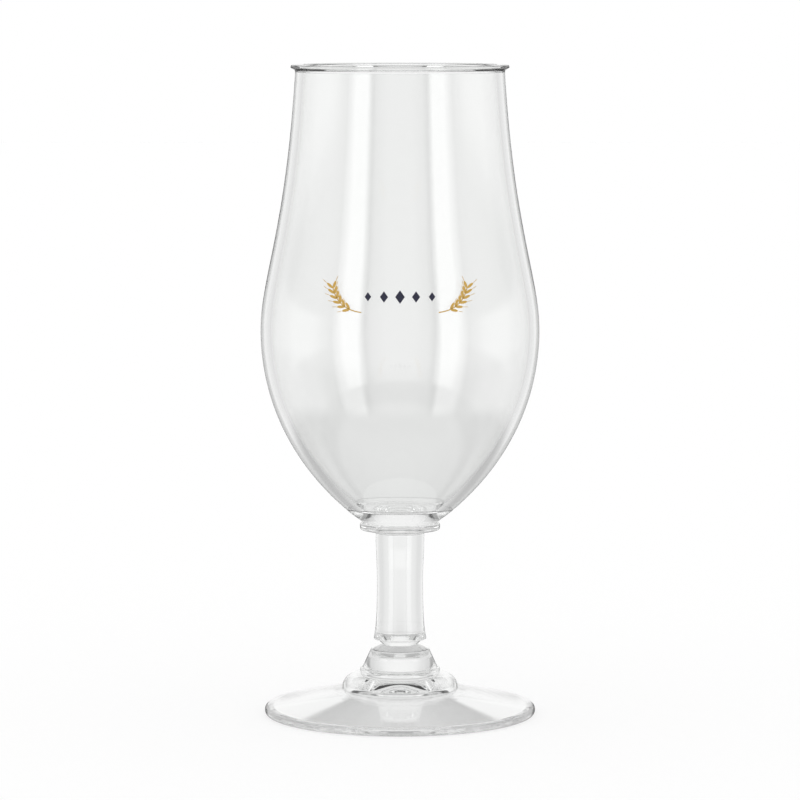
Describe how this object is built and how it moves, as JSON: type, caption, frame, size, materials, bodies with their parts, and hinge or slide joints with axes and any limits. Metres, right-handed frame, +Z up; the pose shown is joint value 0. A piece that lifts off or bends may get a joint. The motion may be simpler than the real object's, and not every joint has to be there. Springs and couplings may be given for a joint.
{
  "type": "beer glass",
  "caption": "Footed tulip beer glass of clear glass: a swelling bowl with an everted lip on a short waisted stem and a round, hollow foot with a stepped hub.",
  "frame": {"origin": "on the glass's axis, at the table that the foot stands on", "axes": "+Z up along the axis of the glass, towards its mouth; -Y is the front, which carries the print"},
  "size_m": [0.0772, 0.0772, 0.1808],
  "materials": {
    "clear_glass": "clear and polished"
  },
  "bodies": {
    "root": {"bowl": "clear_glass", "stem": "clear_glass", "foot": "clear_glass"}
  },
  "joints": []
}
